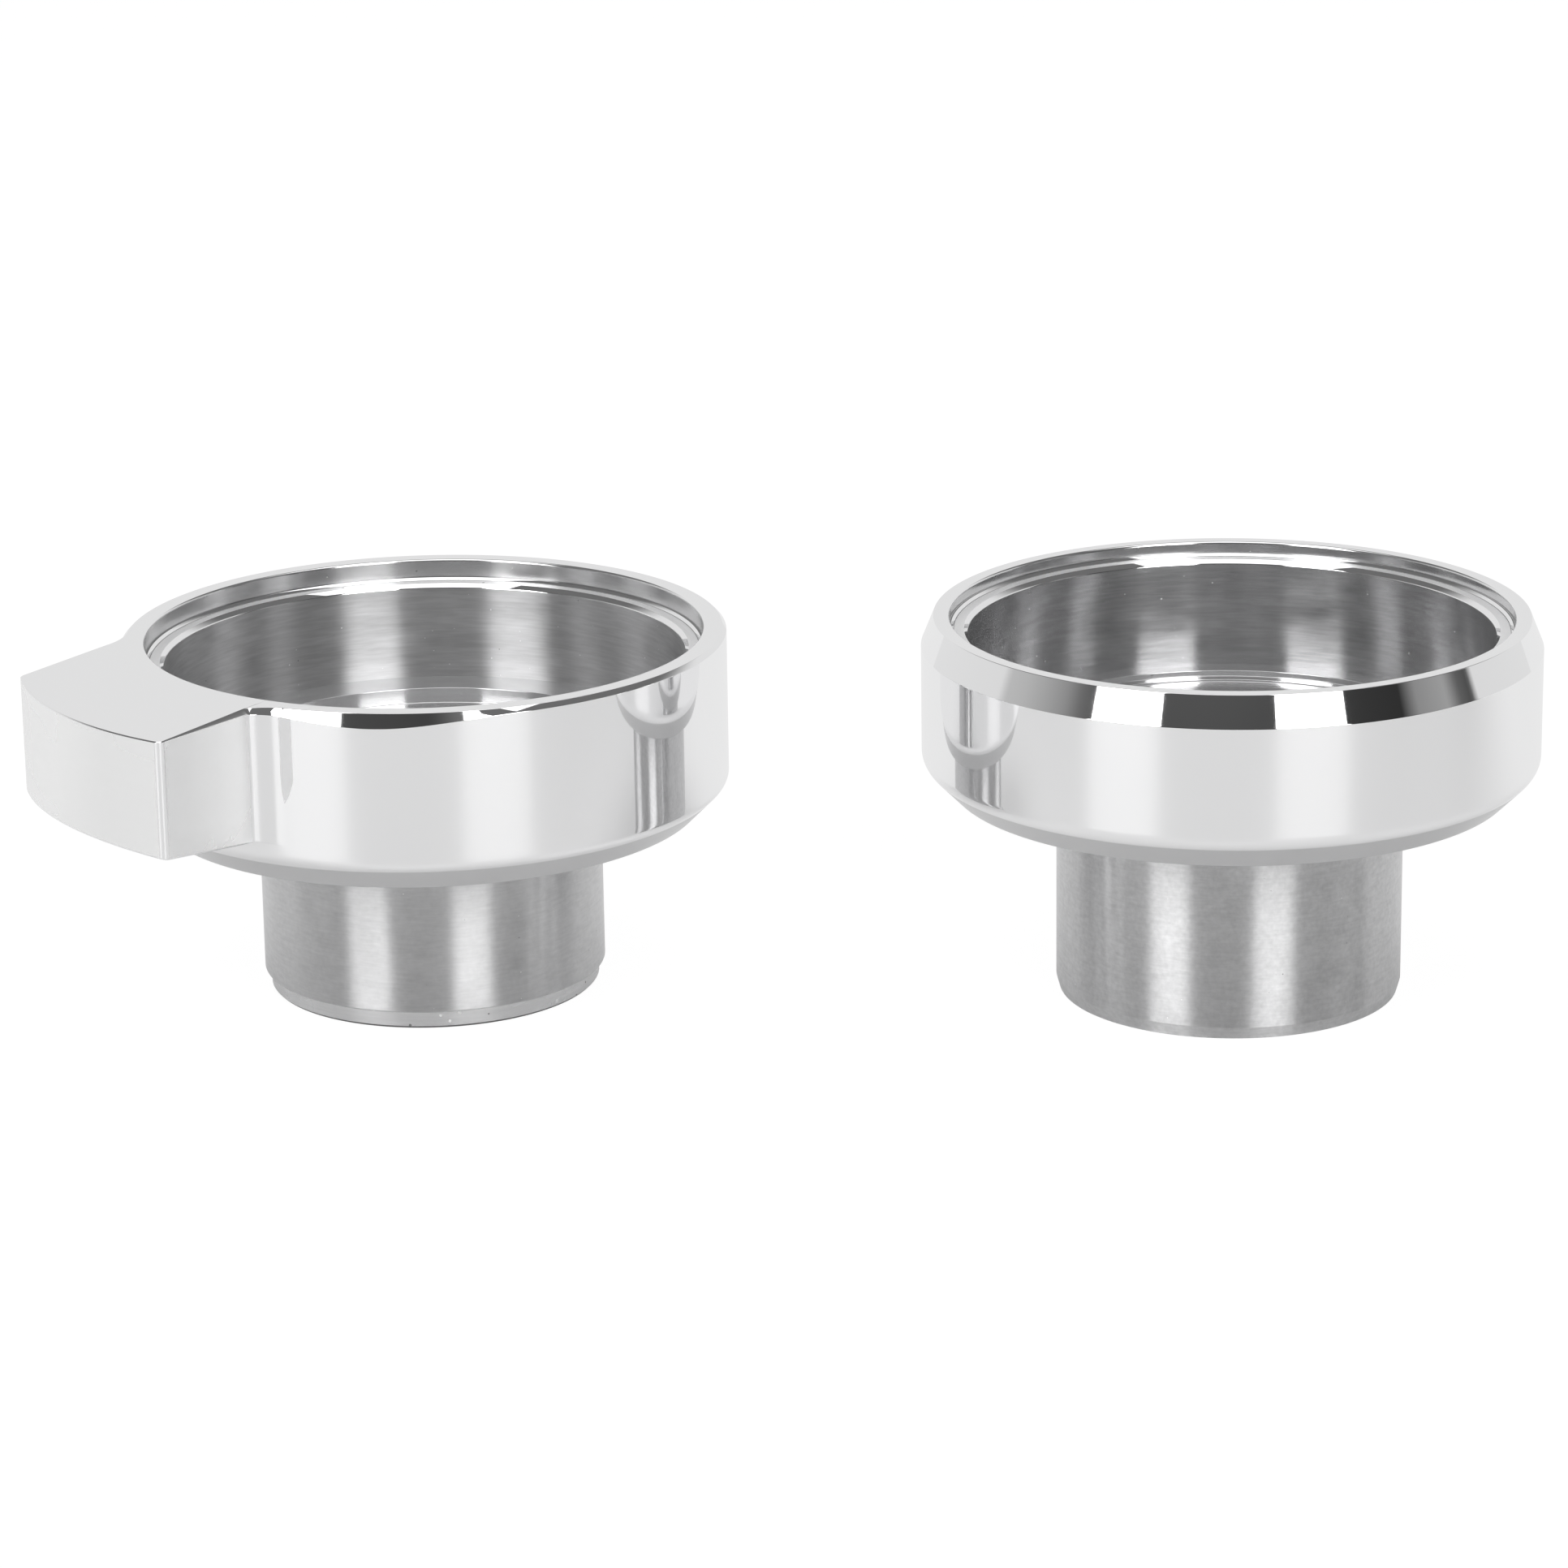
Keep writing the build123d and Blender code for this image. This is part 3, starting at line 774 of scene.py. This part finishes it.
# %% [markdown]
# ## Inside a collar
# Both holders have the same three rings stacked in the collar's pocket: a seat whose flat top carries
# the basket's rim, the cup's wall, and a floor that steps down towards the neck. The seat's mouth is
# bevelled, and the bevel is bright because baskets rub it. Its lower side belongs to the brushed wall.
# Since only a few sizes differ, one function turns the three rings of either holder.

# %% Turn the three rings
def on_upright_side(radius, height, lean):
    return abs(lean) < 0.3

def on_seat_bevel(radius, height, lean):
    return radius < mouth_radius + 0.05 and 0.3 <= lean < 0.97

def turn_inside(holder, finish, shelf, step, shelf_roundings):
    """The seat, the cup's wall and the floor, whose two steps are given as (radius, height)."""
    side, seat, cup_top, cup_foot = holder.side, holder.seat, holder.cup_top, holder.cup_foot
    seat_ring = turn_piece(
        side + "_seat", holder,
        [(ring_outside, seat, 0.03), (mouth_radius, seat, 0.06), (cup_radius, seat - seat_bevel, 0.28),
         (cup_radius, cup_top, 0), (ring_outside, cup_top, 0)],
        finish["seat"], "machined_seat", side + "_seat_ring")
    paint_where(seat_ring, holder, finish["cup"], on_upright_side)
    paint_where(seat_ring, holder, finish["collar"], on_seat_bevel)
    turn_piece(
        side + "_cup_wall", holder,
        [(ring_outside, cup_top, 0), (cup_radius, cup_top, 0), (cup_radius, cup_foot, 0),
         (ring_outside, cup_foot, 0)],
        finish["cup"], "brushed_cup", side + "_bore_liner")
    turn_piece(
        side + "_stepped_floor", holder,
        [(ring_outside, cup_foot, 0), (shelf[0], cup_foot, shelf_roundings[0]), (*shelf, shelf_roundings[1]),
         (step[0], shelf[1], 0.10), (*step, 0.08), (bore_radius, step[1], 0.2), (bore_radius, holder.web, 0),
         (ring_outside, holder.web, 0)],
        finish["floor"], "turned_floor", side + "_floor_ring")

print("the seat's bevel is", seat_bevel, "mm high")

# %% The recess inside a collar's rim
def paint_recess(collar, holder, finish):
    """Turned steel on the recess's wall and the ledge's bevel, and painted shade in the corner between them."""
    outer = recess_radius + 0.2

    def on_recess_wall(radius, height, lean):
        return radius < outer and height > holder.cup_foot and abs(lean) < 0.6

    def in_recess_corner(radius, height, lean):
        return pocket_radius + 0.1 < radius < outer and height < holder.ledge + 0.1 and lean > 0.9

    paint_where(collar, holder, finish["recess"], on_recess_wall)
    # The corner between them is painted dark as shade.
    paint_where(collar, holder, finish["corner"], in_recess_corner)

for holder in (plain, tabbed):
    print(holder.side, "ledge", round(holder.rim - holder.ledge, 2), "mm below its rim")

# %% [markdown]
# ## The plain holder
# Five turned pieces. Its collar has a wide, steep chamfer round the rim and a 45 degree chamfer at
# the foot, which meets the wall in a soft curve. Its neck has a slim taper at the foot that leads it
# into its socket.

# %% Turn the plain holder
plain_wall, plain_rim_edge, plain_foot_edge = 36.0, 34.55, 32.6    # radii
plain_wall_top, plain_wall_foot = 41.75, 28.3                      # heights

plain_collar = turn_piece(
    "plain_polished_collar", plain,
    [(recess_radius, plain.rim, rim_rounding), (plain_rim_edge, plain.rim, 0.10),
     (plain_wall, plain_wall_top, 0.30), (plain_wall, plain_wall_foot, 2.2),
     (plain_foot_edge, plain.base, foot_rounding), (base_hole_radius, plain.base, 0),
     (base_hole_radius, plain.web, 0), (pocket_radius, plain.web, 0),
     (pocket_radius, plain.ledge - ledge_bevel, ledge_rounding), (ledge_radius, plain.ledge, ledge_rounding),
     (recess_radius, plain.ledge, 0.05)],
    plain_finish["collar"], "polished_collar", "plain_collar", steps=collar_steps)
paint_recess(plain_collar, plain, plain_finish)
turn_inside(plain, plain_finish, shelf=(27.6, 29.8), step=(26.1, 29.5), shelf_roundings=(0.10, 0.08))
taper_width, taper_height = 0.4, 1.45
turn_piece(
    "plain_neck", plain,
    [(bore_radius, 0.0, 0.15), (neck_radius - taper_width, 0.0, 0.15), (neck_radius, taper_height, 0.3),
     (neck_radius, plain.base, 0), (spigot_radius, plain.base, 0), (spigot_radius, plain.web, 0),
     (bore_radius, plain.web, 0)],
    plain_finish["neck"], "brushed_neck", "plain_neck_sleeve")

# %% [markdown]
# ## The tabbed holder
# The same turned rings with their own heights, a deeper floor, and a neck that ends in a slightly
# smaller lip. The lip is a ring of its own, pressed up into the neck, and its foot is bevelled, with
# painted shade on the bevel. The collar isn't round, so it can't come off the lathe, and it comes after them.

# %% Turn the inside, the neck and the lip of the tabbed holder
lip_foot, lip_top = heights_of("tabbed_neck_lip")
neck_foot = heights_of("tabbed_neck_sleeve")[0]
lip_radius, lip_bevel = 19.5, 0.3
lip_seat_radius, lip_spigot_radius = 18.73, 18.7    # the seat in the neck and the lip's part that fills it

turn_inside(tabbed, tabbed_finish, shelf=(25.3, 26.5), step=(22.1, 26.1), shelf_roundings=(0.12, 0.12))
turn_piece(
    "tabbed_neck", tabbed,
    [(lip_seat_radius, neck_foot, 0), (neck_radius, neck_foot, 0.25), (neck_radius, tabbed.base, 0),
     (spigot_radius, tabbed.base, 0), (spigot_radius, tabbed.web, 0), (bore_radius, tabbed.web, 0),
     (bore_radius, lip_top, 0), (lip_seat_radius, lip_top, 0)],
    tabbed_finish["neck"], "brushed_neck", "tabbed_neck_sleeve")
tabbed_lip = turn_piece(
    "tabbed_neck_lip_ring", tabbed,
    [(bore_radius, lip_foot, 0.15), (lip_radius - lip_bevel, lip_foot, 0.1), (lip_radius, lip_bevel, 0.15),
     (lip_radius, neck_foot, 0), (lip_spigot_radius, neck_foot, 0), (lip_spigot_radius, lip_top, 0),
     (bore_radius, lip_top, 0)],
    tabbed_finish["lip"], "machined_seat", "tabbed_neck_lip")

def on_lip_bevel(radius, height, lean):
    return radius > lip_radius - 0.5 and 0 < height < lip_bevel - 0.02

# The lip's bevel at the foot is painted dark as shade.
paint_where(tabbed_lip, tabbed, tabbed_finish["corner"], on_lip_bevel)

# %% [markdown]
# ## The tabbed collar
# This collar is turned first and then milled. A thumb tab grows out of it: on the far side through a
# soft blend, on the near side through a tighter one that ends in a crease. Its end follows an arc, and
# its underside rises towards the tip. The tops of the rim and of the tab are one flat face. The chamfer
# round the rim is polished by hand, so it is taller near the tab than at the back, and on the tab it
# shrinks to a broken edge. The end and the near side of the tab are rubbed by thumbs to a satin.
# A boolean of two solids would leave the blends faceted, so the mesh is built in upright columns
# instead: a walk round the outline gives points with their outward directions, and every point gets
# the same list of heights, from the recess over the rim and round underneath.

# %% Ways to walk along an outline
def arc_points(centre, radius, start, stop, steps, bulges=True):
    """Points on an arc in the tab's own frame, each with its outward direction."""
    points = []
    for step in range(steps):
        angle = radians(start + (stop - start) * step / steps)
        spoke = Vector((cos(angle), sin(angle)))
        points.append((Vector(centre) + radius * spoke, spoke if bulges else -spoke))
    return points

def line_points(start, stop, steps, outward):
    """Points on a straight side, each with its outward direction."""
    start, stop = Vector(start), Vector(stop)
    return [(start.lerp(stop, step / steps), Vector(outward)) for step in range(steps)]

def side_meets_arc(side_start, side_stop, centre, radius):
    """Where a straight side, carried on past side_stop, meets the end's arc."""
    start, along = Vector(side_start), (Vector(side_stop) - Vector(side_start)).normalized()
    offset = start - Vector(centre)
    half = offset.dot(along)
    return start + along * (-half + sqrt(half * half - offset.length_squared + radius * radius))

def fillet_between(line_point, line_direction, solid_side, ring, size):
    """Centre and two touching points of a blend outside the ring and beside a straight side."""
    outward = Vector((-line_direction.y, line_direction.x)) * solid_side
    base = Vector(line_point) + outward * size
    half = base.dot(line_direction)
    run = -half + sqrt(half * half - base.length_squared + (ring + size) ** 2)
    centre = base + line_direction * run
    return centre, centre - outward * size, centre.normalized() * ring

def heading_of(vector):
    """The direction of a flat vector, in degrees."""
    return degrees(atan2(vector.y, vector.x))

print("walking helpers ready")

# %% Sizes of the tab
# The tab's own frame starts on the ring's axis, and its X runs out along the tab. Sizes are in millimetres.
tab_heading = radians(-123)
ring_radius = 35.45
end_x, end_y, end_radius = 9.5, 2.2, 42.6          # the arc of the tab's end
corner_size = 0.8                                  # rounding of the end's two upright edges
near_offset, near_tip_offset = 3.4, 2.45           # the near side, beside the axis and at the tip
far_offset = -28.55                                # the far side, which runs straight along X
far_blend_size = 9.0
near_blend_size, near_blend_heading = 5.0, radians(9.56)
crease_size = 0.7

end_centre = Vector((end_x, end_y))
near_base = Vector((0.0, near_offset))
near_tip_x = end_x + sqrt(end_radius ** 2 - (near_tip_offset - end_y) ** 2)
near_tip = Vector((near_tip_x, near_tip_offset))
print("tab reaches", round(end_x + end_radius, 1), "mm from the axis")

# %% Where the near side of the tab meets the ring
near_line = (near_tip - near_base).normalized()
near_out = Vector((-near_line.y, near_line.x))
toward_blend = Vector((cos(near_blend_heading), sin(near_blend_heading)))
near_blend = toward_blend * (ring_radius + near_blend_size)
near_ring = near_blend.normalized() * ring_radius
from_blend = near_base + near_out * crease_size - near_blend
half_run = from_blend.dot(near_line)
inner_size = near_blend_size - crease_size
run_back = -half_run - sqrt(half_run ** 2 - from_blend.length_squared + inner_size ** 2)
crease = near_blend + from_blend + near_line * run_back
near_touch = crease - near_out * crease_size
crease_start = heading_of(-near_out) + 360
crease_end = heading_of(crease - near_blend) + 360
print("crease at", tuple(round(v, 2) for v in crease), "over", round(crease_start - crease_end, 1), "degrees")

# %% Where the far side and the end of the tab meet
far_line, far_out = Vector((1, 0)), Vector((0, -1))
far_blend, far_touch, far_ring = fillet_between(
    (0.0, far_offset), far_line, -1, ring_radius, far_blend_size)
inner_end = end_radius - corner_size
near_inset, far_inset = near_out * corner_size, far_offset + corner_size
near_corner = side_meets_arc(near_base - near_inset, near_tip - near_inset, end_centre, inner_end)
far_corner = side_meets_arc((0.0, far_inset), (1.0, far_inset), end_centre, inner_end)
near_end, far_end = heading_of(near_corner - end_centre), heading_of(far_corner - end_centre)
ring_start, ring_stop = heading_of(near_ring), heading_of(far_ring) + 360
print("blends start at", [round(v, 2) for v in (ring_start, ring_stop)], "degrees round the ring")

# %% Walk round the outline
ring_points, far_blend_points, far_points, far_corner_points, end_points = 330, 14, 10, 6, 56
near_corner_points, near_points, crease_points, near_blend_points = 10, 24, 8, 16
far_blend_start, near_blend_end = heading_of(far_ring - far_blend), heading_of(near_ring - near_blend) + 360

walk, marks = [], {}
walk += arc_points((0, 0), ring_radius, ring_start, ring_stop, ring_points)
marks["far_root"] = len(walk)
walk += arc_points(far_blend, far_blend_size, far_blend_start, 90.0, far_blend_points, bulges=False)
walk += line_points(far_touch, far_corner + far_out * corner_size, far_points, far_out)
walk += arc_points(far_corner, corner_size, -90.0, far_end, far_corner_points)
marks["end"] = len(walk)
walk += arc_points(end_centre, end_radius, far_end, near_end, end_points)
walk += arc_points(near_corner, corner_size, near_end, heading_of(near_out), near_corner_points)
marks["near_side"] = len(walk)
walk += line_points(near_corner + near_out * corner_size, near_touch, near_points, near_out)
marks["near_root"] = len(walk)
walk += arc_points(crease, crease_size, crease_start, crease_end, crease_points, bulges=False)
walk += arc_points(near_blend, near_blend_size, crease_end, near_blend_end, near_blend_points, bulges=False)
print("outline of", len(walk), "points:", marks)

# %% Chamfer sizes along the outline
ring_chamfer, tab_chamfer, root_chamfer = 0.5, 0.12, 0.52    # millimetres
far_loss, root_gain = 0.32, 0.40                             # along the far side, and through the near root
extra_height, extra_heading, extra_spread = 1.2, 27, 17      # the tall part near the tab, in degrees

def rim_chamfer(number):
    """Width and height of the chamfer on the top edge at one point of the outline, in millimetres."""
    if number < marks["far_root"]:
        heading = ring_start + (ring_stop - ring_start) * number / marks["far_root"]
        extra = extra_height * exp(-((heading - extra_heading) / extra_spread) ** 2)
        return ring_chamfer, ring_chamfer + extra
    if number < marks["end"]:
        fade = (number - marks["far_root"]) / (marks["end"] - marks["far_root"])
        size = ring_chamfer - far_loss * min(1, 2 * fade)
        return size, size
    if number < marks["near_side"]:
        return tab_chamfer, tab_chamfer
    if number < marks["near_root"]:
        part = (number - marks["near_side"]) / (marks["near_root"] - marks["near_side"])
        size = tab_chamfer + (root_chamfer - tab_chamfer) * part
        return size, size
    part = (number - marks["near_root"]) / (len(walk) - marks["near_root"])
    return root_chamfer + (ring_chamfer - root_chamfer) * part, root_chamfer + root_gain * part

print("chamfer by the tab:", [round(v, 2) for v in rim_chamfer(0)])
print("chamfer at the back:", [round(v, 2) for v in rim_chamfer(180)])

# %% Round one corner of a column
corner_steps = 5

def round_corner(before, corner, after, size, steps=corner_steps):
    """Replace one corner of a flat path with a small arc, or repeat it where there is no room."""
    corner = Vector(corner)
    to_before, to_after = Vector(before) - corner, Vector(after) - corner
    repeated = [corner.copy() for _ in range(steps + 1)]
    if size <= 0 or to_before.length < 1e-6 or to_after.length < 1e-6:
        return repeated
    bend = to_before.angle(to_after)
    if bend >= 3.13:
        return repeated
    run = min(size / tan(bend / 2), 0.45 * to_before.length, 0.45 * to_after.length)
    if run < 1e-5:
        return repeated
    start, stop = corner + to_before.normalized() * run, corner + to_after.normalized() * run
    radius = run * tan(bend / 2)
    toward_middle = (to_before.normalized() + to_after.normalized()).normalized()
    middle = corner + toward_middle * (radius / sin(bend / 2))
    arc = []
    first, last = start - middle, stop - middle
    sweep = first.angle(last)
    for step in range(steps + 1):
        part = step / steps
        arc.append(middle + (first * sin((1 - part) * sweep) + last * sin(part * sweep)) / sin(sweep))
    return arc

print("corners are rounded in", corner_steps, "steps")

# %% Heights along one column
slope, slope_heading = radians(8.2), radians(-145)    # the tab's underside, and the way it rises
slope_height, slope_reach = 28.9, 46.5                # its height at a distance from the axis
root_height = 25.8                                    # the lowest that the underside comes, at the ring
top_width = 6.0                                       # how far in from the wall the flat top is followed
wall_foot, foot_edge = 24.7, 32.05                    # the ring's foot chamfer: its height and inner radius
wall_foot_rounding = 2.4

def under_tab(point):
    """Height of the tab's sloping underside above a point of its own frame."""
    turned = slope_heading - tab_heading
    along = point.x * cos(turned) + point.y * sin(turned)
    return max(slope_height + tan(slope) * (along - slope_reach), root_height)

def over_the_rim(place, outward, number):
    """From the recess over the rim and down the outer wall, measured as inset from the wall."""
    rim, spoke = tabbed.rim, place.normalized()
    width, height = rim_chamfer(number)
    foot = under_tab(place)
    inner_edge = (recess_radius, tabbed.ledge), (recess_radius, rim), (ring_radius, rim)
    column = [(radius * spoke, z) for radius, z in round_corner(*inner_edge, rim_rounding)]
    edge = [(top_width, rim), (width, rim), (0.0, rim - height), (0.0, foot), (top_width, foot)]
    chamfer_rounding = min(0.10, 0.3 * width)
    tab_rounding = min(foot_rounding, max(0.0, (place.length - ring_radius) * 0.5))
    for step, size in ((1, chamfer_rounding), (2, chamfer_rounding), (3, tab_rounding)):
        for inset, z in round_corner(edge[step - 1], edge[step], edge[step + 1], size):
            column.append((place - outward * inset, z))
    return column

def round_underneath(spoke):
    """From the tab's root down the ring's foot, under the base and up through the pocket, by radius."""
    base, web, ledge = tabbed.base, tabbed.web, tabbed.ledge
    root = (ring_radius, under_tab(ring_radius * spoke))
    wall, foot, hole = (ring_radius, wall_foot), (foot_edge, base), (base_hole_radius, base)
    ledge_foot, ledge_top = (pocket_radius, ledge - ledge_bevel), (ledge_radius, ledge)
    path = [root, *round_corner(root, wall, foot, wall_foot_rounding, steps=8)]
    path += round_corner(wall, foot, hole, foot_rounding)
    path += [hole, (base_hole_radius, web), (pocket_radius, web)]
    path += round_corner((pocket_radius, web), ledge_foot, ledge_top, ledge_rounding, steps=2)
    path += round_corner(ledge_foot, ledge_top, (recess_radius + 0.5, ledge), ledge_rounding, steps=2)
    path.append((recess_radius, ledge))
    return [(radius * spoke, z) for radius, z in path]

def collar_column(number):
    """All points of one column as (place in the tab's frame, height) pairs, in a closed loop."""
    place, outward = walk[number]
    return over_the_rim(place, outward, number) + round_underneath(place.normalized())

columns = [collar_column(number) for number in range(len(walk))]
tall = len(columns[0])
print(len(columns), "columns of", tall, "points")

# %% Join the columns to a mesh
points, faces = [], []
for column in columns:
    for place, height in column:
        points.append((
            tabbed.axis.x + (place.x * cos(tab_heading) - place.y * sin(tab_heading)) * mm,
            tabbed.axis.y + (place.x * sin(tab_heading) + place.y * cos(tab_heading)) * mm,
            height * mm,
        ))
for number in range(len(columns)):
    here, following = number * tall, (number + 1) % len(columns) * tall
    for step in range(tall):
        above = (step + 1) % tall
        faces.append((here + step, following + step, following + above, here + above))
collar_mesh = bpy.data.meshes.new("tabbed_polished_collar")
collar_mesh.from_pydata(points, [], faces)
print("collar has", len(points), "points before it is closed")

# %% Rub the end and the near side of the tab, and finish the collar
# The upright wall is the row of faces that comes after three rounded corners.
wall_row = 3 * (corner_steps + 1) - 1
collar_mesh.materials.append(tabbed_finish["collar"])
collar_mesh.materials.append(tabbed_finish["tab"])
end_faces = range(marks["end"], marks["end"] + end_points)
near_faces = range(marks["near_side"], marks["near_root"])
for number in [*end_faces, *near_faces]:
    collar_mesh.polygons[number * tall + wall_row].material_index = 1
work = bmesh.new()
work.from_mesh(collar_mesh)
bmesh.ops.remove_doubles(work, verts=work.verts, dist=1e-7)
work.to_mesh(collar_mesh)
work.free()
tabbed_collar = finish_piece(
    "tabbed_polished_collar", collar_mesh, tabbed, "polished_collar", "tabbed_collar")
paint_recess(tabbed_collar, tabbed, tabbed_finish)
